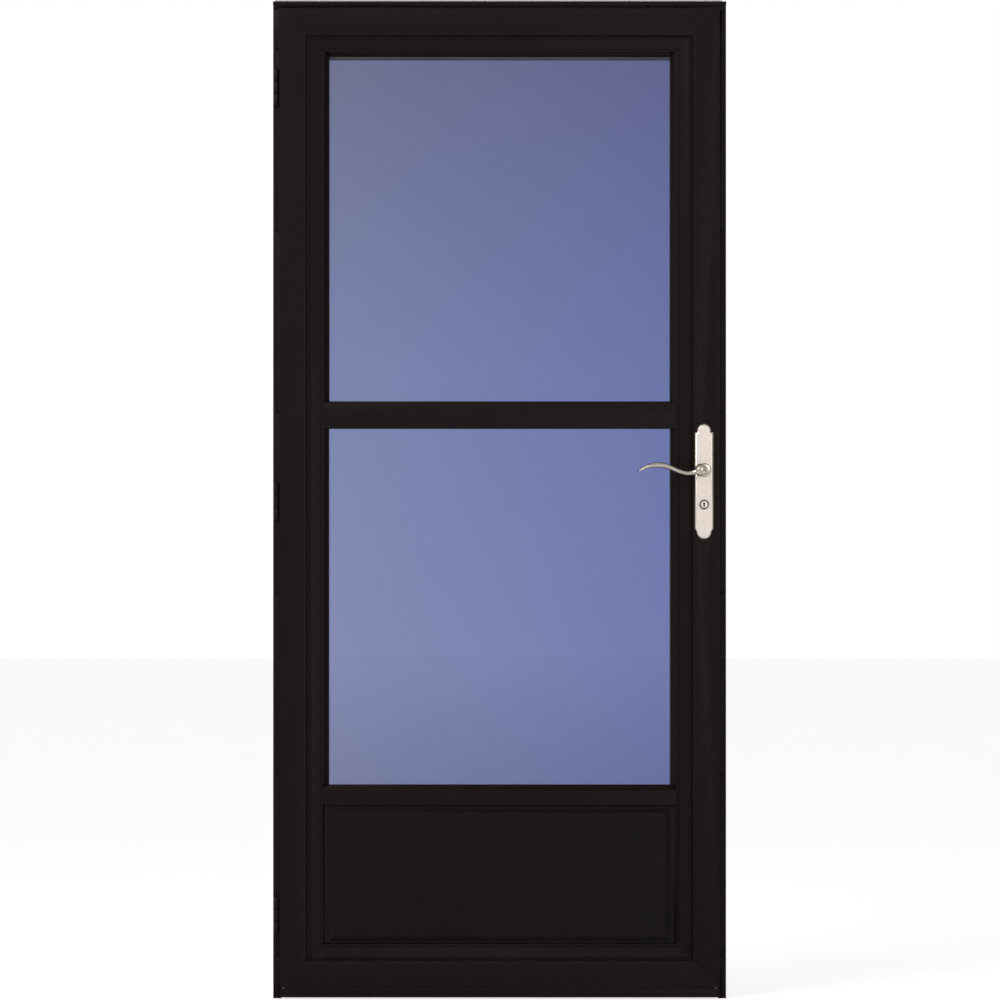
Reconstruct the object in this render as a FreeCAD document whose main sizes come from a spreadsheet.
import FreeCAD, Part
import math
import os
import re
import Sketcher

# Aluminium storm door with its jamb rails, in millimetres.
# Frame: +Z up, -Y is the outdoor side, +X runs from the hinge side to the latch side.
# The origin is on the back of the hinge-side mounting flange, on its screw line, at the bottom.

SIZES = {
    # The whole unit, and the jamb rails that are screwed to the casing
    "unit_width": 935.4,
    "unit_height": 2058.2,
    "screw_line": 7,
    "flange_thick": 2,
    "flange_cover": 14,
    "web_thick": 2,
    "web_depth": 40,
    "screw_hole": 5,
    "screw_low": 90,
    "screw_top": 98.2,
    "screw_rows": 6,
    "head_screw_inset": 160,
    "hood_reach": 16,
    "hood_drop": 8,
    "hood_thick": 2.5,
    # Gaps between the door and the jamb
    "run_gap": 5,
    "reveal": 13.2,
    "head_reveal": 14,
    "strip_thick": 3,
    "strip_width": 8,
    "strip_setback": 22,
    "strip_base": 1,
    # Door frame extrusion, the same on all four sides
    "door_bottom": 22.8,
    "door_thick": 41,
    "lip_thick": 6,
    "wall": 1.8,
    "member_width": 89.6,
    "flat_band": 55.7,
    "groove_width": 11,
    "relief": 3,
    "quirk_width": 2.5,
    "bead_height": 2,
    "line_inset": 4.6,
    "line_width": 2,
    "line_depth": 1,
    # Glass, the tracks beside it and the rails that cross the door
    "glass_thick": 3,
    "glass_setback": 9,
    "stop_side": 12.4,
    "stop_head": 9.4,
    "track_base": 2,
    "track_lip": 8,
    "glass_bite": 6,
    "meet_low": 1176.7,
    "meet_high": 1230.4,
    "meet_depth": 16,
    "kick_low": 398.7,
    "kick_flat": 429.7,
    "kick_high": 441.3,
    "panel_border": 13.4,
    "panel_bevel": 9,
    "panel_raise": 6,
    "panel_sheet": 4,
    "panel_skin": 2,
    "panel_skin_inset": 6,
    "sash_thick": 12,
    "sash_stile": 10,
    "sash_foot": 30,
    "sash_show": 6.2,
    "seat_gap": 0.3,
    # Sweep under the door
    "expander_wall": 1.6,
    "expander_rise": 34,
    "expander_low": 10,
    "sweep_low": 2,
    "skirt_inset": 0.6,
    "fin_thick": 2,
    # Hinges
    "hinge_count": 3,
    "hinge_low": 132,
    "hinge_top": 126.2,
    "hinge_height": 76,
    "knuckle_radius": 5,
    "pin_radius": 2.5,
    "pin_head": 3.6,
    "hinge_setback": 11,
    "knuckle_gap": 0.4,
    "hinge_plate": 2,
    # Handle set
    "backset": 32.5,
    "spindle_height": 1091,
    "plate_below": 49.5,
    "plate_above": 78.6,
    "plate_width": 38.4,
    "plate_thick": 5,
    "plate_bevel": 1.4,
    "arch_width": 29,
    "arch_foot": 2.6,
    "shoulder_drop": 6.9,
    "tip_width": 30.4,
    "rose_radius": 14.5,
    "rose_thick": 4,
    "neck_radius": 6,
    "hub_lean": 8.4,
    "hub_radius": 12,
    "hub_deep": 17,
    "hub_bevel": 3.5,
    "spindle_side": 8,
    "spindle_bore": 8,
    "lever_out": 42,
    "lever_length": 136,
    "trough_at": 34,
    "trough_drop": 6.6,
    "crest_at": 94,
    "crest_rise": 10.2,
    "tip_drop": 3,
    "root_half": 9.6,
    "trough_half": 4.6,
    "crest_half": 5.3,
    "tip_half": 1.1,
    "lever_facets": 16,
    "turn_gap": 0.3,
    "cylinder_drop": 71,
    "cylinder_radius": 10.5,
    "cylinder_proud": 3.5,
    "plug_radius": 7.6,
    "plug_gap": 0.3,
    "keyway_height": 7,
    "keyway_width": 1.6,
    "turn_radius": 9,
    "turn_length": 14,
    "turn_grip": 22,
    "turn_grip_thick": 5,
    "faceplate_over": 26,
    "faceplate_width": 20,
    "latch_height": 18,
    "latch_width": 11,
    "latch_proud": 1.5,
    "bolt_height": 22,
    "bolt_width": 8,
    "window_gap": 2,
    "strike_thick": 1.5,
    "strike_width": 18,
    "strike_over": 24,
    # Screen cassette and sash latches
    "cassette_rise": 40,
    "cassette_depth": 14,
    "cassette_low": 6,
    "latch_pad": 44,
    "latch_pad_rise": 14,
    "screen_bar_gap": 0.3,
}

# Places worked out from the sizes above, each from those before it.
PLACES = [
    ("unit_left", "-screw_line"),
    ("unit_right", "unit_left + unit_width"),
    ("latch_screw_line", "unit_right - screw_line"),
    ("web_left", "unit_left + flange_cover"),
    ("web_right", "unit_right - flange_cover"),
    ("door_left", "unit_left + reveal"),
    ("door_right", "unit_right - reveal"),
    ("door_top", "unit_height - head_reveal"),
    ("lip_reach", "flange_cover + web_thick + strip_thick + run_gap - reveal"),
    ("door_front", "-(flange_thick + run_gap + lip_thick)"),
    ("door_back", "door_front + door_thick"),
    ("inner_front", "door_front + relief"),
    ("inner_left", "door_left + member_width"),
    ("inner_right", "door_right - member_width"),
    ("inner_bottom", "door_bottom + member_width"),
    ("inner_top", "door_top - member_width"),
    ("head_web_low", "door_top - lip_reach + run_gap + strip_thick"),
    ("head_web_high", "head_web_low + web_thick"),
    ("glass_front", "inner_front + glass_setback"),
    ("glass_back", "glass_front + glass_thick"),
    ("sash_front", "glass_back + track_base * 3 + seat_gap"),
    ("sash_back", "sash_front + sash_thick"),
    ("track_back", "sash_back + seat_gap + track_base"),
    ("glass_head", "inner_top - stop_head"),
    ("hinge_axis_x", "unit_left + reveal / 2"),
    ("hinge_axis_y", "-hinge_setback"),
    ("spindle_x", "door_right - backset"),
    ("cylinder_height", "spindle_height - cylinder_drop"),
    ("plate_low", "cylinder_height - plate_below"),
    ("plate_high", "spindle_height + plate_above"),
    ("screw_pitch", "(unit_height - screw_low - screw_top) / (screw_rows - 1)"),
    ("hinge_pitch", "(door_top - hinge_low - hinge_top - hinge_height) / (hinge_count - 1)"),
    ("lock_y", "door_front + door_thick / 2"),
    ("lock_low", "cylinder_height - faceplate_over"),
    ("lock_high", "spindle_height + faceplate_over"),
]

NAMES = set(SIZES) | {name for name, rule in PLACES}

doc = FreeCAD.newDocument("StormDoor")
sizes = doc.addObject("Spreadsheet::Sheet", "Sizes")
for row, (name, value) in enumerate(SIZES.items(), start=1):
    sizes.set(f"A{row}", name)
    sizes.set(f"B{row}", str(value))
    sizes.setAlias(f"B{row}", name)
doc.recompute()


def tied(rule):
    """The rule with each name written as its cell in the sheet it belongs to."""
    def cell(match):
        word = match.group(0)
        if word in SIZES:
            return f"Sizes.{word}"
        if word in NAMES:
            return f"Places.{word}"
        return word
    return re.sub(r"[A-Za-z_]\w*", cell, rule)


places = doc.addObject("Spreadsheet::Sheet", "Places")
for row, (name, rule) in enumerate(PLACES, start=1):
    places.set(f"A{row}", name)
    places.set(f"B{row}", "=" + tied(rule).replace("Places.", ""))
    places.setAlias(f"B{row}", name)
    doc.recompute()



def value(rule):
    """The number that a size rule gives now, worked out in a spare cell."""
    places.set("D1", "=" + tied(rule).replace("Places.", ""))
    places.recompute()
    return float(places.get("D1"))


FRAME_X = FreeCAD.Vector(1, 0, 0)
FRAME_Y = FreeCAD.Vector(0, 1, 0)
FRAME_Z = FreeCAD.Vector(0, 0, 1)

parts_to_write = []


def keep(item, label):
    """Give a finished sub-part its own name and put it on the list to be written."""
    item.Label = label
    parts_to_write.append(item)
    return item


def bind(item, **rules):
    """Tie properties to size rules; a double underscore stands for a dot."""
    for key, rule in rules.items():
        item.setExpression(key.replace("__", "."), tied(str(rule)))
    return item


def put(item, across="0", deep="0", up="0"):
    return bind(item, Placement__Base__x=across, Placement__Base__y=deep, Placement__Base__z=up)


def box(name, across, deep, up):
    """A block between two rules along each axis."""
    block = doc.addObject("Part::Box", name)
    bind(
        block,
        Length=f"({across[1]}) - ({across[0]})",
        Width=f"({deep[1]}) - ({deep[0]})",
        Height=f"({up[1]}) - ({up[0]})",
    )
    return put(block, across[0], deep[0], up[0])


def rod(name, radius, length, axis, across="0", deep="0", up="0"):
    """A round bar that starts at the given place and runs along the axis."""
    bar = doc.addObject("Part::Cylinder", name)
    bar.Placement.Rotation = FreeCAD.Rotation(FRAME_Z, axis)
    bind(bar, Radius=radius, Height=length)
    return put(bar, across, deep, up)


def fuse(name, pieces):
    joined = doc.addObject("Part::MultiFuse", name)
    joined.Shapes = pieces
    return joined


def cut(name, base, tool):
    left = doc.addObject("Part::Cut", name)
    left.Base = base
    left.Tool = tool
    return left


def plane_of(body, role):
    return next(plane for plane in body.Origin.OriginFeatures if plane.Role == role)


def arc_between(start, finish, centre_up, turn):
    """The arc whose centre lies at the given height; turn is 1 for anticlockwise."""
    middle = (start + finish) * 0.5
    chord = finish - start
    centre_across = middle.x - (centre_up - middle.y) * chord.y / chord.x
    centre = FreeCAD.Vector(centre_across, centre_up, 0)
    first, last = (start, finish) if turn > 0 else (finish, start)
    begin = math.atan2(first.y - centre_up, first.x - centre_across)
    end = math.atan2(last.y - centre_up, last.x - centre_across)
    circle = Part.Circle(centre, FRAME_Z, (start - centre).Length)
    return Part.ArcOfCircle(circle, begin, end if end > begin else end + 2 * math.pi)


def pin_point(sketch, edge, end, across=None, up=None):
    """Hold a point of an edge at its rules, measured from the sketch's own origin."""
    for kind, rule in (("DistanceX", across), ("DistanceY", up)):
        if rule is not None:
            size = Sketcher.Constraint(kind, -1, 1, edge, end, value(rule))
            number = sketch.addConstraint(size)
            sketch.setExpression(f"Constraints[{number}]", tied(rule))


def add_loop(sketch, corners):
    """A closed outline; each corner is a pair of size rules for across and up.

    A corner with two more entries starts an arc: the height of its centre, and
    1 for anticlockwise or -1 for clockwise.
    """
    first = sketch.GeometryCount
    points = [FreeCAD.Vector(value(c[0]), value(c[1]), 0) for c in corners]
    following = points[1:] + points[:1]
    starts = []
    ends = []
    for corner, point, after in zip(corners, points, following):
        turn = corner[3] if len(corner) == 4 else 0
        starts.append(2 if turn < 0 else 1)
        ends.append(1 if turn < 0 else 2)
        if turn:
            edge = arc_between(point, after, value(corner[2]), turn)
        else:
            edge = Part.LineSegment(point, after)
        sketch.addGeometry(edge, False)
    for step, corner in enumerate(corners):
        edge = first + step
        after = (step + 1) % len(corners)
        join = Sketcher.Constraint("Coincident", edge, ends[step], first + after, starts[after])
        sketch.addConstraint(join)
        pin_point(sketch, edge, starts[step], corner[0], corner[1])
        if len(corner) == 4:
            pin_point(sketch, edge, 3, up=corner[2])


def add_circle(sketch, across, up, radius):
    centre = FreeCAD.Vector(value(across), value(up), 0)
    edge = sketch.addGeometry(Part.Circle(centre, FRAME_Z, value(radius)), False)
    pin_point(sketch, edge, 3, across, up)
    number = sketch.addConstraint(Sketcher.Constraint("Radius", edge, value(radius)))
    sketch.setExpression(f"Constraints[{number}]", tied(radius))


def new_sketch(body, name, role):
    sketch = body.newObject("Sketcher::SketchObject", name)
    sketch.AttachmentSupport = (plane_of(body, role), [""])
    sketch.MapMode = "FlatFace"
    return sketch


def extrusion(name, role, loops, length):
    """A body padded from closed loops drawn on one of its own planes."""
    body = doc.addObject("PartDesign::Body", name)
    section = new_sketch(body, name + "_section", role)
    for loop in loops:
        add_loop(section, loop)
    pad = body.newObject("PartDesign::Pad", name + "_pad")
    pad.Profile = section
    bind(pad, Length=length)
    section.Visibility = False
    return body


def pocket_through(body, name, role, loops=(), circles=()):
    """Cut loops and circles right through the body, both ways from the plane."""
    shape = new_sketch(body, name + "_outline", role)
    for loop in loops:
        add_loop(shape, loop)
    for across, up, radius in circles:
        add_circle(shape, across, up, radius)
    hole = body.newObject("PartDesign::Pocket", name)
    hole.Profile = shape
    hole.Type = "ThroughAll"
    hole.Midplane = True
    return hole


def pocket_up(body, name, loop, floor, depth):
    """Cut a loop drawn on the body's own XY plane upwards from the given floor."""
    shape = new_sketch(body, name + "_outline", "XY_Plane")
    add_loop(shape, loop)
    shape.setExpression("AttachmentOffset.Base.z", tied(floor))
    hole = body.newObject("PartDesign::Pocket", name)
    hole.Profile = shape
    hole.Reversed = True
    bind(hole, Length=depth)
    return hole


def rectangle(across, up):
    """The four corners between two rules each way."""
    return [(across[0], up[0]), (across[1], up[0]), (across[1], up[1]), (across[0], up[1])]


# Jamb rails: a flange over the face of the casing and a web into the opening.

SCREW_HEIGHTS = [f"screw_low + {step} * screw_pitch" for step in range(SIZES["screw_rows"])]


def jamb_rail(name, side):
    """One upright rail; side is 1 on the hinge side and -1 on the latch side."""
    edge = "unit_left" if side > 0 else "unit_right"
    line = "0" if side > 0 else "latch_screw_line"
    section = [
        (edge, "0"),
        (f"{edge} + {side} * flange_cover", "0"),
        (f"{edge} + {side} * flange_cover", "web_depth"),
        (f"{edge} + {side} * (flange_cover + web_thick)", "web_depth"),
        (f"{edge} + {side} * (flange_cover + web_thick)", "-flange_thick"),
        (edge, "-flange_thick"),
    ]
    rail = extrusion(name, "XY_Plane", [section], "head_web_low")
    holes = [(line, height, "screw_hole / 2") for height in SCREW_HEIGHTS]
    pocket_through(rail, name + "_screw_holes", "XZ_Plane", circles=holes)
    return rail


def header():
    """The head rail, whose top edge turns out into a hood that sheds water."""
    section = [
        ("0", "unit_height"),
        ("0", "head_web_high"),
        ("web_depth", "head_web_high"),
        ("web_depth", "head_web_low"),
        ("-flange_thick", "head_web_low"),
        ("-flange_thick", "unit_height - hood_thick"),
        ("-hood_reach + hood_thick", "unit_height - hood_thick"),
        ("-hood_reach + hood_thick", "unit_height - hood_drop"),
        ("-hood_reach", "unit_height - hood_drop"),
        ("-hood_reach", "unit_height"),
    ]
    rail = extrusion("Header", "YZ_Plane", [section], "unit_width")
    put(rail, "unit_left")
    places_across = ["head_screw_inset", "unit_width - head_screw_inset"]
    height = "(head_web_high + unit_height - hood_drop) / 2"
    holes = [(across, height, "screw_hole / 2") for across in places_across]
    pocket_through(rail, "Header_screw_holes", "XZ_Plane", circles=holes)
    deep = ("0", "web_depth + 1")
    for end, span in (
        ("left", ("-1", "flange_cover")),
        ("right", ("unit_width - flange_cover", "unit_width + 1")),
    ):
        floor = "head_web_low - 1"
        pocket_up(rail, "Header_notch_" + end, rectangle(span, deep), floor, "web_thick + 1")
    return rail


def side_strip(name, side):
    """A pile strip on the web, on its own backing."""
    web = "web_left + web_thick" if side > 0 else "web_right - web_thick"
    section = [
        (web, "strip_setback"),
        (f"{web} + {side} * strip_base", "strip_setback"),
        (f"{web} + {side} * strip_base", "strip_setback + strip_base"),
        (f"{web} + {side} * strip_thick", "strip_setback + 2 * strip_base"),
        (f"{web} + {side} * strip_thick", "strip_setback + strip_width - 2 * strip_base"),
        (f"{web} + {side} * strip_base", "strip_setback + strip_width - strip_base"),
        (f"{web} + {side} * strip_base", "strip_setback + strip_width"),
        (web, "strip_setback + strip_width"),
    ]
    return extrusion(name, "XY_Plane", [section], "head_web_low")


def head_strip():
    reach = "strip_setback + strip_width"
    section = [
        ("strip_setback", "head_web_low"),
        ("strip_setback", "head_web_low - strip_base"),
        ("strip_setback + strip_base", "head_web_low - strip_base"),
        ("strip_setback + 2 * strip_base", "head_web_low - strip_thick"),
        (f"{reach} - 2 * strip_base", "head_web_low - strip_thick"),
        (f"{reach} - strip_base", "head_web_low - strip_base"),
        (reach, "head_web_low - strip_base"),
        (reach, "head_web_low"),
    ]
    inset = "(web_thick + strip_thick)"
    strip = extrusion(
        "Head_strip", "YZ_Plane", [section], f"web_right - web_left - 2 * {inset}"
    )
    return put(strip, f"web_left + {inset}")


# The latch and the bolt: name, height of the middle, own height and own width.
LOCK_NOSES = [
    ("latch", "spindle_height", "latch_height", "latch_width"),
    ("bolt", "cylinder_height", "bolt_height", "bolt_width"),
]


def strike():
    """The plate on the latch-side web, with a window for the latch and one for the bolt."""
    face = "web_right - web_thick"
    plate = box(
        "Strike_plate",
        (f"{face} - strike_thick", face),
        ("lock_y - strike_width / 2", "lock_y + strike_width / 2"),
        ("cylinder_height - strike_over", "spindle_height + strike_over"),
    )
    windows = []
    for tag, middle, high, wide in LOCK_NOSES:
        windows.append(box(
            "Strike_window_" + tag,
            (f"{face} - 2 * strike_thick", f"{face} + strike_thick"),
            (f"lock_y - {wide} / 2 - window_gap", f"lock_y + {wide} / 2 + window_gap"),
            (f"{middle} - {high} / 2 - window_gap", f"{middle} + {high} / 2 + window_gap"),
        ))
    return cut("Strike", plate, fuse("Strike_windows", windows))


# Door frame: four members of one section with mitred corners.

# Each member is drawn along its own X, with its outer edge on the X axis, then turned.
MEMBER_TURNS = {
    "Bottom": (0, "door_left", "door_bottom"),
    "Head": (180, "door_right", "door_top"),
    "Hinge": (90, "door_left", "door_top"),
    "Latch": (-90, "door_right", "door_bottom"),
}


def frame_member(name, length):
    """A hollow member: lip over the jamb, flat band, moulded step, inner band."""
    bead_start = "flat_band + quirk_width"
    bead_end = "flat_band + groove_width - quirk_width"
    line = "member_width - line_inset"
    section = [
        ("door_front", "0"),
        ("door_front", "flat_band"),
        ("inner_front", "flat_band + quirk_width / 2"),
        ("inner_front", bead_start),
        ("inner_front - bead_height", f"{bead_start} + bead_height"),
        ("inner_front - bead_height", f"{bead_end} - bead_height"),
        ("inner_front", bead_end),
        ("inner_front", f"{line} - line_width / 2"),
        ("inner_front + line_depth", line),
        ("inner_front", f"{line} + line_width / 2"),
        ("inner_front", "member_width"),
        ("door_back", "member_width"),
        ("door_back", "lip_reach"),
        ("door_front + lip_thick", "lip_reach"),
        ("door_front + lip_thick", "0"),
    ]
    face_wall = "inner_front + line_depth + wall"
    hollow = [
        (face_wall, "lip_reach + wall"),
        (face_wall, "member_width - wall"),
        ("door_back - wall", "member_width - wall"),
        ("door_back - wall", "lip_reach + wall"),
    ]
    lip_hollow = rectangle(
        ("door_front + wall", "door_front + lip_thick - wall"),
        ("wall", "lip_reach"),
    )
    turn, across, up = MEMBER_TURNS[name]
    member = extrusion("Frame_" + name, "YZ_Plane", [section, hollow, lip_hollow], length)
    start = [("0", "0"), ("0", "member_width + 1"), ("member_width + 1", "member_width + 1")]
    finish = [
        (length, "0"),
        (length, "member_width + 1"),
        (f"({length}) - member_width - 1", "member_width + 1"),
    ]
    pocket_through(member, f"Frame_{name}_mitres", "XZ_Plane", loops=[start, finish])
    member.Placement.Rotation = FreeCAD.Rotation(FRAME_Y, turn)
    return put(member, across, "0", up)


DOOR_LENGTH = "door_top - door_bottom"
DOOR_WIDTH = "door_right - door_left"


def latch_stile():
    """The stile that carries the lock, bored for it and open at its edge."""
    stile = frame_member("Latch", DOOR_LENGTH)
    bores = [
        ("spindle_height - door_bottom", "backset", "spindle_bore"),
        ("cylinder_height - door_bottom", "backset", "cylinder_radius"),
    ]
    pocket_through(stile, "Latch_stile_bores", "XZ_Plane", circles=bores)
    edge_window = rectangle(
        ("lock_low - door_bottom", "lock_high - door_bottom"),
        ("lock_y - faceplate_width / 2", "lock_y + faceplate_width / 2"),
    )
    pocket_up(stile, "Latch_stile_edge", edge_window, "lip_reach - 0.2", "wall + 0.4")
    return stile


# Rails that cross the door.

INNER_WIDTH = "inner_right - inner_left"


def meeting_rail():
    """The rail between the two lights, grooved below for the fixed glass."""
    back = "inner_front + meet_depth"
    section = [
        ("inner_front", "meet_low"),
        ("inner_front", "meet_high"),
        (back, "meet_high"),
        (back, "meet_low"),
        ("glass_back", "meet_low"),
        ("glass_back", "meet_low + glass_bite + 1"),
        ("glass_front", "meet_low + glass_bite + 1"),
        ("glass_front", "meet_low"),
    ]
    hollow = [
        ("inner_front + wall", "meet_low + glass_bite + 1 + wall"),
        ("inner_front + wall", "meet_high - wall"),
        (f"{back} - wall", "meet_high - wall"),
        (f"{back} - wall", "meet_low + glass_bite + 1 + wall"),
    ]
    rail = extrusion("Meeting_rail", "YZ_Plane", [section, hollow], INNER_WIDTH)
    return put(rail, "inner_left")


def kick_rail():
    """The rail over the kick panel, with the sloped stop that holds the glass."""
    section = [
        ("inner_front", "kick_low"),
        ("inner_front", "kick_flat"),
        ("glass_front - track_base / 2", "kick_high"),
        ("glass_front", "kick_high"),
        ("glass_front", "kick_high - glass_bite - 1"),
        ("glass_back", "kick_high - glass_bite - 1"),
        ("glass_back", "kick_high"),
        ("glass_back + track_base * 3", "kick_high"),
        ("glass_back + track_base * 3", "kick_flat"),
        ("door_back", "kick_flat"),
        ("door_back", "kick_low"),
    ]
    hollow = [
        ("inner_front + wall", "kick_low + wall"),
        ("inner_front + wall", "kick_flat - wall"),
        ("door_back - wall", "kick_flat - wall"),
        ("door_back - wall", "kick_low + wall"),
    ]
    rail = extrusion("Kick_rail", "YZ_Plane", [section, hollow], INNER_WIDTH)
    return put(rail, "inner_left")


def kick_panel():
    """A pressed panel: a flat border, then a bevel up to a raised field."""
    sheet_front = "inner_front + panel_raise"
    base = box(
        "Kick_panel_sheet",
        ("inner_left", "inner_right"),
        (sheet_front, f"{sheet_front} + panel_sheet"),
        ("inner_bottom", "kick_low"),
    )
    field = doc.addObject("Part::Wedge", "Kick_panel_field")
    wide = f"({INNER_WIDTH}) - 2 * panel_border"
    tall = "kick_low - inner_bottom - panel_border"
    bind(
        field,
        Xmin="0",
        Xmax=wide,
        Zmin="0",
        Zmax=tall,
        Ymin="0",
        Ymax="panel_raise",
        X2min="panel_bevel",
        X2max=f"{wide} - panel_bevel",
        Z2min="panel_bevel",
        Z2max=f"{tall} - panel_bevel",
    )
    field.Placement.Rotation = FreeCAD.Rotation(FRAME_X, 180)
    put(field, "inner_left + panel_border", sheet_front, "kick_low - panel_border / 2")
    return fuse("Kick_panel", [base, field])


def kick_panel_skin():
    """The flat skin that closes the panel on its indoor side."""
    return box(
        "Kick_panel_skin",
        ("inner_left", "inner_right"),
        ("door_back - panel_skin_inset - panel_skin", "door_back - panel_skin_inset"),
        ("inner_bottom", "kick_low"),
    )


# Tracks beside the glass, and the two lights.

def side_track(name, side):
    """A track with a sloped front stop, a glass slot and a slot for the sash."""
    edge = "inner_left" if side > 0 else "inner_right"

    def at(distance):
        return f"{edge} + {side} * ({distance})"

    lip = "track_base + track_lip"
    section = [
        (at("0"), "inner_front"),
        (at("track_base"), "inner_front"),
        (at("stop_side"), "glass_front - track_base / 2"),
        (at("stop_side"), "glass_front"),
        (at("track_base"), "glass_front"),
        (at("track_base"), "glass_back"),
        (at(lip), "glass_back"),
        (at(lip), "sash_front - seat_gap"),
        (at("track_base"), "sash_front - seat_gap"),
        (at("track_base"), "sash_back + seat_gap"),
        (at(lip), "sash_back + seat_gap"),
        (at(lip), "track_back"),
        (at("0"), "track_back"),
    ]
    return section


def lower_track(name, side):
    track = extrusion(name, "XY_Plane", [side_track(name, side)], "meet_low - kick_high")
    return put(track, "0", "0", "kick_high")


def upper_track(name, side):
    track = extrusion(name, "XY_Plane", [side_track(name, side)], "inner_top - meet_high")
    return put(track, "0", "0", "meet_high")


def head_stop():
    """The sloped stop over the upper light."""
    section = [
        ("inner_front", "inner_top"),
        ("inner_front", "inner_top - track_base / 2"),
        ("glass_front - track_base / 2", "glass_head"),
        ("glass_front", "glass_head"),
        ("glass_front", "inner_top"),
    ]
    stop = extrusion("Head_stop", "YZ_Plane", [section], f"{INNER_WIDTH} - 2 * stop_side")
    return put(stop, "inner_left + stop_side")


def lower_glass():
    reach = "(track_base + 1)"
    return box(
        "Lower_glass",
        (f"inner_left + {reach}", f"inner_right - {reach}"),
        ("glass_front", "glass_back"),
        ("kick_high - glass_bite", "meet_low + glass_bite"),
    )


SASH_LEFT = "inner_left + track_base + seat_gap"
SASH_RIGHT = "inner_right - track_base - seat_gap"
SASH_TOP = "glass_head + 1"
SASH_LOW = "meet_high - sash_foot"


def sash_bar(name, across, up):
    return box(name, across, ("sash_front", "sash_back"), up)


def sash_stile(name, side):
    edge = SASH_LEFT if side > 0 else SASH_RIGHT
    span = (edge, f"{edge} + {side} * sash_stile")
    if side < 0:
        span = (span[1], span[0])
    return sash_bar(name, span, (SASH_LOW, SASH_TOP))


def sash_head():
    return sash_bar(
        "Sash_head",
        (f"{SASH_LEFT} + sash_stile", f"{SASH_RIGHT} - sash_stile"),
        ("glass_head - sash_show", SASH_TOP),
    )


def sash_foot():
    """The foot of the sash, with a finger ledge along its indoor side."""
    across = (f"{SASH_LEFT} + sash_stile", f"{SASH_RIGHT} - sash_stile")
    bar = sash_bar("Sash_foot_bar", across, (SASH_LOW, "meet_high + 2"))
    ledge = box(
        "Sash_foot_ledge",
        across,
        ("sash_back", "sash_back + track_lip * 0.75"),
        ("meet_high - 2", "meet_high + 1"),
    )
    return fuse("Sash_foot", [bar, ledge])


def upper_glass():
    across = (f"{SASH_LEFT} + sash_stile", f"{SASH_RIGHT} - sash_stile")
    deep = "sash_front + (sash_thick - glass_thick) / 2"
    return box(
        "Upper_glass",
        across,
        (deep, f"{deep} + glass_thick"),
        ("meet_high + 2", "glass_head - sash_show"),
    )


def sash_latches():
    """Finger latches at both ends of the sash foot, on its indoor side."""
    latches = []
    for name, start in (
        ("Latch_pad_left", f"{SASH_LEFT} + sash_stile + 10"),
        ("Latch_pad_right", f"{SASH_RIGHT} - sash_stile - 10 - latch_pad"),
    ):
        latches.append(box(
            name,
            (start, f"{start} + latch_pad"),
            ("sash_back", "sash_back + track_lip * 0.75"),
            (f"{SASH_LOW} + 4", f"{SASH_LOW} + 4 + latch_pad_rise"),
        ))
    return fuse("Sash_latches", latches)


def screen_cassette():
    """The cover over the rolled insect screen, on the indoor face of the head."""
    low = "inner_top + cassette_low"
    section = [
        ("door_back", low),
        ("door_back", f"{low} + cassette_rise"),
        ("door_back + cassette_depth - 4", f"{low} + cassette_rise"),
        ("door_back + cassette_depth", f"{low} + cassette_rise - 4"),
        ("door_back + cassette_depth", f"{low} + 4"),
        ("door_back + cassette_depth - 4", low),
    ]
    hollow = [
        ("door_back + wall", f"{low} + wall"),
        ("door_back + wall", f"{low} + cassette_rise - wall"),
        ("door_back + cassette_depth - 4", f"{low} + cassette_rise - wall"),
        ("door_back + cassette_depth - wall", f"{low} + cassette_rise - 4"),
        ("door_back + cassette_depth - wall", f"{low} + 4"),
        ("door_back + cassette_depth - 4", f"{low} + wall"),
    ]
    cover = extrusion("Screen_cassette", "YZ_Plane", [section, hollow], INNER_WIDTH)
    return put(cover, "inner_left")


# Bottom expander and sweep.

def expander():
    """A channel under the door with a skirt that carries the lip of the door down to the sill."""
    skirt = "door_front + skirt_inset"
    lip_back = "door_front + lip_thick"
    front = "door_front + lip_thick + 1"
    back = "door_back"
    low = "expander_low"
    floor = "expander_low + expander_wall"
    skirt_top = "door_bottom - seat_gap"
    skirt_section = [
        (skirt, "sweep_low + 1"),
        (skirt, skirt_top),
        (f"{skirt} + expander_wall", skirt_top),
        (f"{skirt} + expander_wall", floor),
        (lip_back, floor),
        (lip_back, low),
        (f"{skirt} + expander_wall", low),
        (f"{skirt} + expander_wall", "sweep_low + 1"),
    ]
    channel_section = [
        (lip_back, low),
        (lip_back, floor),
        (front, floor),
        (front, "door_bottom"),
        (f"{front} + expander_wall", "door_bottom"),
        (f"{front} + expander_wall", floor),
        (back, floor),
        (back, "door_bottom + expander_rise"),
        (f"{back} + expander_wall", "door_bottom + expander_rise"),
        (f"{back} + expander_wall", low),
    ]
    wide = f"{DOOR_WIDTH} - 2 * skirt_inset"
    face = extrusion("Expander_skirt", "YZ_Plane", [skirt_section], wide)
    put(face, "door_left + skirt_inset")
    narrow = f"{DOOR_WIDTH} - 2 * lip_reach"
    channel = extrusion("Expander_channel", "YZ_Plane", [channel_section], narrow)
    put(channel, "door_left + lip_reach")
    return fuse("Expander", [face, channel])


def sweep():
    """Two rubber fins under the expander."""
    fins = []
    for name, deep in (
        ("Sweep_front", "door_front + lip_thick + 3"),
        ("Sweep_back", "door_back - fin_thick - 2"),
    ):
        fins.append(box(
            name,
            ("door_left + lip_reach", "door_right - lip_reach"),
            (deep, f"{deep} + fin_thick"),
            ("sweep_low", "expander_low"),
        ))
    return fuse("Sweep", fins)


# Hinges: each has a middle knuckle on the door and two outer knuckles on the jamb.

HINGE_STARTS = [f"hinge_low + {step} * hinge_pitch" for step in range(SIZES["hinge_count"])]
KNUCKLE = "(hinge_height / 3)"


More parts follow.
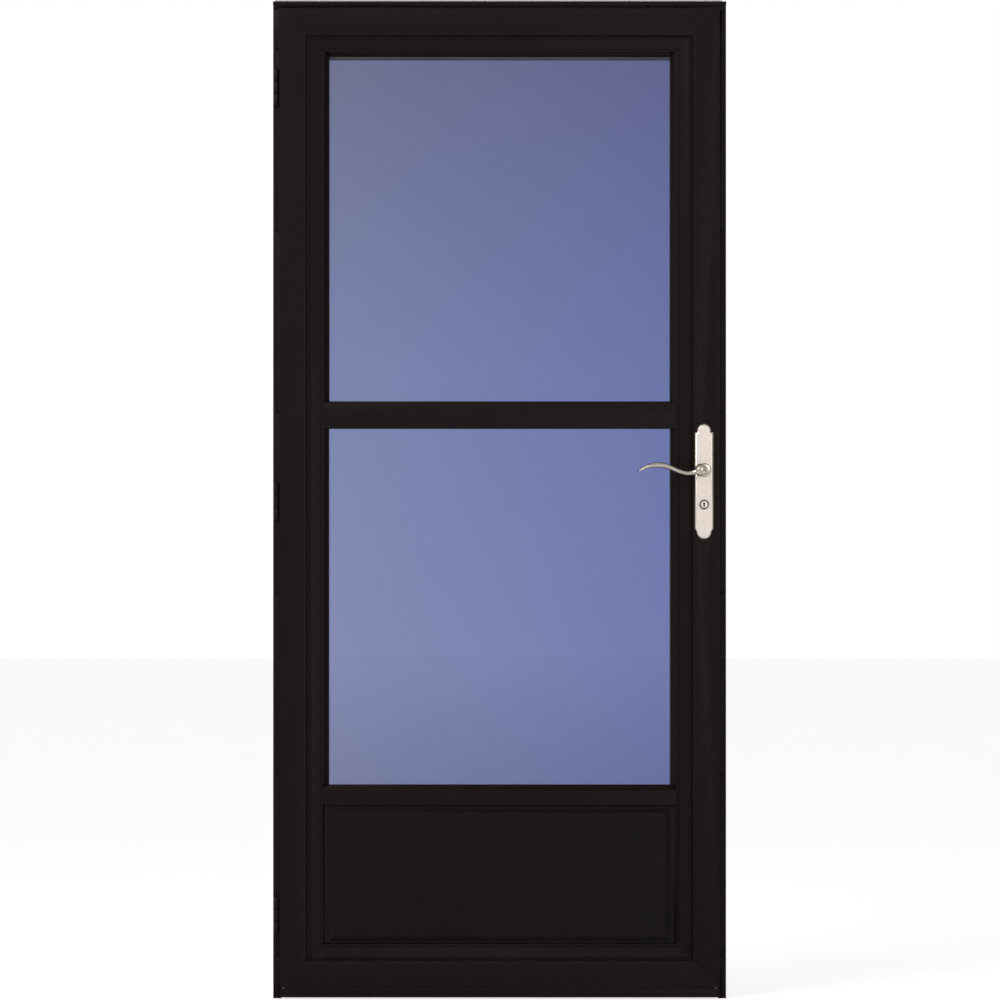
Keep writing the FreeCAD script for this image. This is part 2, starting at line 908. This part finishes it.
def knuckle(name, start, low, high):
    return rod(
        name,
        "knuckle_radius",
        f"({high}) - ({low})",
        FRAME_Z,
        "hinge_axis_x",
        "hinge_axis_y",
        f"{start} + {low}",
    )


def bored(name, pieces, start):
    """Join the pieces and bore them for the pin."""
    solid = fuse(name + "_solid", pieces)
    bore = rod(
        name + "_bore",
        "pin_radius",
        "hinge_height + 2",
        FRAME_Z,
        "hinge_axis_x",
        "hinge_axis_y",
        f"{start} - 1",
    )
    return cut(name, solid, bore)


def jamb_hinges():
    """The fixed halves, with a plate on the flange and a neck up to each knuckle."""
    halves = []
    for number, start in enumerate(HINGE_STARTS):
        ends = (
            (0, "0", f"{KNUCKLE} - knuckle_gap"),
            (1, f"2 * {KNUCKLE} + knuckle_gap", "hinge_height"),
        )
        for end, low, high in ends:
            tag = f"{number}_{end}"
            tube = knuckle("Jamb_knuckle_" + tag, start, low, high)
            neck = box(
                "Jamb_neck_" + tag,
                ("hinge_axis_x - 1.5", "hinge_axis_x + 1.5"),
                ("hinge_axis_y + 2", "-flange_thick"),
                (f"{start} + {low}", f"{start} + {high}"),
            )
            plate = box(
                "Jamb_plate_" + tag,
                ("unit_left + 1", "hinge_axis_x + 5"),
                ("-flange_thick - hinge_plate", "-flange_thick"),
                (f"{start} + {low}", f"{start} + {high}"),
            )
            halves.append(bored("Jamb_half_" + tag, [tube, neck, plate], start))
    return fuse("Jamb_hinges", halves)


def door_hinges():
    """The moving halves, with a plate that reaches behind the lip of the door."""
    halves = []
    for number, start in enumerate(HINGE_STARTS):
        low = f"{KNUCKLE} + knuckle_gap"
        high = f"2 * {KNUCKLE} - knuckle_gap"
        tube = knuckle(f"Door_knuckle_{number}", start, low, high)
        plate = box(
            f"Door_plate_{number}",
            ("hinge_axis_x", "door_left + lip_reach - 0.5"),
            ("door_front + lip_thick", "door_front + lip_thick + hinge_plate"),
            (f"{start} + {low}", f"{start} + {high}"),
        )
        halves.append(bored(f"Door_half_{number}", [tube, plate], start))
    return fuse("Door_hinges", halves)


def hinge_pins():
    pins = []
    for number, start in enumerate(HINGE_STARTS):
        pins.append(rod(
            f"Hinge_pin_{number}",
            "pin_radius - 0.05",
            "hinge_height",
            FRAME_Z,
            "hinge_axis_x",
            "hinge_axis_y",
            start,
        ))
        pins.append(rod(
            f"Hinge_pin_head_{number}",
            "pin_head",
            "hinge_plate",
            FRAME_Z,
            "hinge_axis_x",
            "hinge_axis_y",
            f"{start} + hinge_height",
        ))
    return fuse("Hinge_pins", pins)


# Handle set.

def handle_plate(name, face, outward):
    """A plate with square shoulders under a round arch, and sloped ones over a round tip."""
    body = doc.addObject("PartDesign::Body", name)
    outline = new_sketch(body, name + "_outline", "XZ_Plane")
    half = "plate_width / 2"
    arch = "arch_width / 2"
    tip = "tip_width / 2"
    arch_foot = "plate_high + arch_foot"
    tip_centre = "plate_low - shoulder_drop"
    add_loop(outline, [
        (half, "plate_low"),
        (half, "plate_high"),
        (arch, "plate_high"),
        (arch, arch_foot, arch_foot, 1),
        (f"-{arch}", arch_foot),
        (f"-{arch}", "plate_high"),
        (f"-{half}", "plate_high"),
        (f"-{half}", "plate_low"),
        (f"-{tip}", tip_centre, tip_centre, 1),
        (tip, tip_centre),
    ])
    add_circle(outline, "0", "spindle_height", "spindle_bore")
    add_circle(outline, "0", "cylinder_height", "cylinder_radius")
    pad = body.newObject("PartDesign::Pad", name + "_pad")
    pad.Profile = outline
    pad.Reversed = outward > 0
    bind(pad, Length="plate_thick")
    doc.recompute()
    rim = []
    for number, edge in enumerate(pad.Shape.Edges, start=1):
        box_of_edge = edge.BoundBox
        flat = box_of_edge.YLength < 0.01
        outside = abs(box_of_edge.YMin) > value("plate_thick") / 2
        bore = isinstance(edge.Curve, Part.Circle) and edge.isClosed()
        if flat and outside and not bore:
            rim.append(f"Edge{number}")
    bevel = body.newObject("PartDesign::Chamfer", name + "_bevel")
    bevel.Base = (pad, rim)
    bind(bevel, Size="plate_bevel")
    body.Tip = bevel
    return put(body, "spindle_x", face)


# The wave of the lever runs through four knots: distance, rise and half height at each.
LEVER_KNOTS = [
    ("hub_lean", "0", "root_half"),
    ("trough_at", "-trough_drop", "trough_half"),
    ("crest_at", "crest_rise", "crest_half"),
    ("lever_length", "-tip_drop", "tip_half"),
]
LEVER_STEPS = (2, 3, 4)


def lever_stations():
    """Rules for distance, rise and half height along the wave, eased between knots."""
    stations = []
    for (near, after), steps in zip(zip(LEVER_KNOTS, LEVER_KNOTS[1:]), LEVER_STEPS):
        for step in range(steps):
            share = step / steps
            ease = round((1 - math.cos(math.pi * share)) / 2, 4)
            along = f"({near[0]}) + (({after[0]}) - ({near[0]})) * {share:.4f}"
            rise = f"({near[1]}) + (({after[1]}) - ({near[1]})) * {ease}"
            half = f"({near[2]}) + (({after[2]}) - ({near[2]})) * {ease}"
            stations.append((along, rise, half))
    stations.append(LEVER_KNOTS[-1])
    return stations


def lever(name, face, outward):
    """A wave lever: rings strung along the grip, on a turned hub that leans off a round rose."""
    rings = []
    for number, (along, rise, half) in enumerate(lever_stations()):
        ring = doc.addObject("Part::RegularPolygon", f"{name}_ring_{number}")
        ring.Placement.Rotation = FreeCAD.Rotation(FRAME_Y, FRAME_Z, FRAME_X, "XYZ")
        bind(ring, Polygon="lever_facets", Circumradius=half)
        put(
            ring,
            f"spindle_x - ({along})",
            f"{face} + {outward} * lever_out",
            f"spindle_height + {rise}",
        )
        rings.append(ring)
    grip = doc.addObject("Part::Loft", name + "_grip")
    grip.Sections = rings
    grip.Solid = True
    grip.Ruled = True
    seat = "plate_thick + turn_gap"
    hub_start = "lever_out - hub_deep / 2"
    hub_foot = f"{seat} + rose_thick"
    profile = [
        ("0", hub_foot),
        ("neck_radius", hub_foot),
        ("neck_radius", hub_start),
        ("hub_radius", hub_start),
        ("hub_radius", f"{hub_start} + hub_deep - hub_bevel"),
        ("hub_radius - hub_bevel", f"{hub_start} + hub_deep"),
        ("0", f"{hub_start} + hub_deep"),
    ]
    hub = doc.addObject("PartDesign::Body", name + "_hub")
    half_section = new_sketch(hub, name + "_hub_section", "XY_Plane")
    add_loop(half_section, [(radius, f"{outward} * ({deep})") for radius, deep in profile])
    turned = hub.newObject("PartDesign::Revolution", name + "_hub_turned")
    turned.Profile = half_section
    turned.ReferenceAxis = (half_section, ["V_Axis"])
    turned.Angle = 360
    put(hub, "spindle_x - hub_lean", face, "spindle_height")
    rose_start = f"{face} + {seat}" if outward > 0 else f"{face} - ({seat}) - rose_thick"
    rose = rod(
        name + "_rose",
        "rose_radius",
        "rose_thick",
        FRAME_Y,
        "spindle_x",
        rose_start,
        "spindle_height",
    )
    return fuse(name, [hub, grip, rose])


def spindle():
    side = "spindle_side / 2"
    return box(
        "Spindle",
        (f"spindle_x - {side}", f"spindle_x + {side}"),
        (
            "door_front - plate_thick - turn_gap",
            "door_back + plate_thick + turn_gap",
        ),
        (f"spindle_height - {side}", f"spindle_height + {side}"),
    )


def key_cylinder():
    """The fixed barrel of the lock, from outdoors to indoors."""
    start = "door_front - plate_thick - cylinder_proud"
    barrel = rod(
        "Cylinder_barrel",
        "cylinder_radius",
        f"door_back + plate_thick - ({start})",
        FRAME_Y,
        "spindle_x",
        start,
        "cylinder_height",
    )
    bore = rod(
        "Cylinder_bore",
        "plug_radius + plug_gap",
        f"door_back + plate_thick - ({start}) + 2",
        FRAME_Y,
        "spindle_x",
        f"{start} - 1",
        "cylinder_height",
    )
    return cut("Key_cylinder", barrel, bore)


def key_plug():
    """The plug that the key turns, with its keyway."""
    start = "door_front - plate_thick - cylinder_proud"
    bar = rod(
        "Plug_bar",
        "plug_radius",
        f"door_back + plate_thick - ({start})",
        FRAME_Y,
        "spindle_x",
        start,
        "cylinder_height",
    )
    slot = box(
        "Plug_keyway",
        ("spindle_x - keyway_width / 2", "spindle_x + keyway_width / 2"),
        (f"{start} - 1", f"{start} + 20"),
        ("cylinder_height - keyway_height / 2", "cylinder_height + keyway_height / 2"),
    )
    return cut("Key_plug", bar, slot)


def thumb_turn():
    """The indoor turn piece: a round rose with a flat grip across it."""
    start = "door_back + plate_thick + turn_gap"
    rose = rod(
        "Turn_rose",
        "turn_radius",
        "turn_length / 2",
        FRAME_Y,
        "spindle_x",
        start,
        "cylinder_height",
    )
    grip = box(
        "Turn_grip",
        ("spindle_x - turn_grip_thick / 2", "spindle_x + turn_grip_thick / 2"),
        (f"{start} + turn_length / 2", f"{start} + turn_length * 1.5"),
        ("cylinder_height - turn_grip / 2", "cylinder_height + turn_grip / 2"),
    )
    stem = rod(
        "Turn_stem",
        "plug_radius - 2",
        "turn_gap",
        FRAME_Y,
        "spindle_x",
        "door_back + plate_thick",
        "cylinder_height",
    )
    return fuse("Thumb_turn", [rose, grip, stem])


def mortise_latch():
    """The faceplate in the edge of the door, with the latch and the bolt drawn back."""
    edge = "door_right - lip_reach"
    plate = box(
        "Latch_faceplate",
        (f"{edge} - wall", edge),
        ("lock_y - faceplate_width / 2", "lock_y + faceplate_width / 2"),
        ("lock_low", "lock_high"),
    )
    pieces = [plate]
    for tag, middle, high, wide in LOCK_NOSES:
        nose = doc.addObject("Part::Wedge", f"Lock_{tag}_nose")
        slope = "latch_proud" if tag == "latch" else "latch_proud / 4"
        proud = "latch_proud" if tag == "latch" else "latch_proud / 2"
        bind(
            nose,
            Xmin="0",
            Xmax=wide,
            Ymin="0",
            Ymax=proud,
            Zmin="0",
            Zmax=high,
            X2min="0",
            X2max=f"{wide} - {slope}",
            Z2min="0",
            Z2max=high,
        )
        nose.Placement.Rotation = FreeCAD.Rotation(FRAME_Y, FRAME_X, -FRAME_Z, "XYZ")
        put(nose, edge, f"lock_y - {wide} / 2", f"{middle} + {high} / 2")
        pieces.append(nose)
    return fuse("Mortise_latch", pieces)


def screen_bar():
    """The pull bar of the rolled screen, in front of the head of the sash."""
    return box(
        "Screen_bar",
        ("inner_left + stop_side", "inner_right - stop_side"),
        ("glass_back", "sash_front"),
        ("glass_head - sash_show", "glass_head - screen_bar_gap"),
    )


def make_all():
    keep(jamb_rail("Hinge_jamb", 1), "hinge_side_jamb_rail")
    keep(jamb_rail("Latch_jamb", -1), "latch_side_jamb_rail")
    keep(header(), "header_drip_cap")
    keep(side_strip("Hinge_strip", 1), "hinge_side_weatherstrip")
    keep(side_strip("Latch_strip", -1), "latch_side_weatherstrip")
    keep(head_strip(), "header_weatherstrip")
    keep(strike(), "strike_plate")
    keep(jamb_hinges(), "jamb_hinge_halves")
    keep(hinge_pins(), "hinge_pins")
    keep(frame_member("Hinge", DOOR_LENGTH), "hinge_stile")
    keep(latch_stile(), "latch_stile")
    keep(frame_member("Head", DOOR_WIDTH), "top_rail")
    keep(frame_member("Bottom", DOOR_WIDTH), "bottom_rail")
    keep(meeting_rail(), "meeting_rail")
    keep(kick_rail(), "kick_rail")
    keep(kick_panel(), "kick_panel")
    keep(kick_panel_skin(), "kick_panel_inside_skin")
    keep(lower_track("Lower_track_hinge", 1), "lower_track_hinge_side")
    keep(lower_track("Lower_track_latch", -1), "lower_track_latch_side")
    keep(upper_track("Upper_track_hinge", 1), "upper_track_hinge_side")
    keep(upper_track("Upper_track_latch", -1), "upper_track_latch_side")
    keep(head_stop(), "head_glass_stop")
    keep(lower_glass(), "lower_glass")
    keep(sash_stile("Sash_stile_hinge", 1), "sash_stile_hinge_side")
    keep(sash_stile("Sash_stile_latch", -1), "sash_stile_latch_side")
    keep(sash_head(), "sash_head")
    keep(sash_foot(), "sash_foot")
    keep(upper_glass(), "upper_glass")
    keep(sash_latches(), "sash_finger_latches")
    keep(screen_cassette(), "screen_cassette")
    keep(screen_bar(), "screen_pull_bar")
    keep(expander(), "bottom_expander")
    keep(sweep(), "bottom_sweep")
    keep(door_hinges(), "door_hinge_halves")
    keep(handle_plate("Outside_plate", "door_front", -1), "outside_handle_plate")
    keep(handle_plate("Inside_plate", "door_back", 1), "inside_handle_plate")
    keep(key_cylinder(), "key_cylinder")
    keep(mortise_latch(), "mortise_latch")
    keep(lever("Outside_lever", "door_front", -1), "outside_lever")
    keep(lever("Inside_lever", "door_back", 1), "inside_lever")
    keep(spindle(), "lever_spindle")
    keep(key_plug(), "key_plug")
    keep(thumb_turn(), "thumb_turn")


make_all()
doc.recompute()

for item in doc.Objects:
    if "Invalid" in item.State or "Error" in item.State:
        raise RuntimeError(f"{item.Name} failed: {item.State}")
for item in parts_to_write:
    if item.Shape.isNull() or not item.Shape.isValid():
        raise RuntimeError(f"{item.Label} has no valid shape")

os.makedirs("parts", exist_ok=True)
for item in parts_to_write:
    item.Shape.exportStep(f"parts/{item.Label}.step")
    solids = len(item.Shape.Solids)
    print(f"{item.Label}: {solids} solids, {item.Shape.Volume / 1000:.1f} cm3")
print("parts written:", len(parts_to_write))
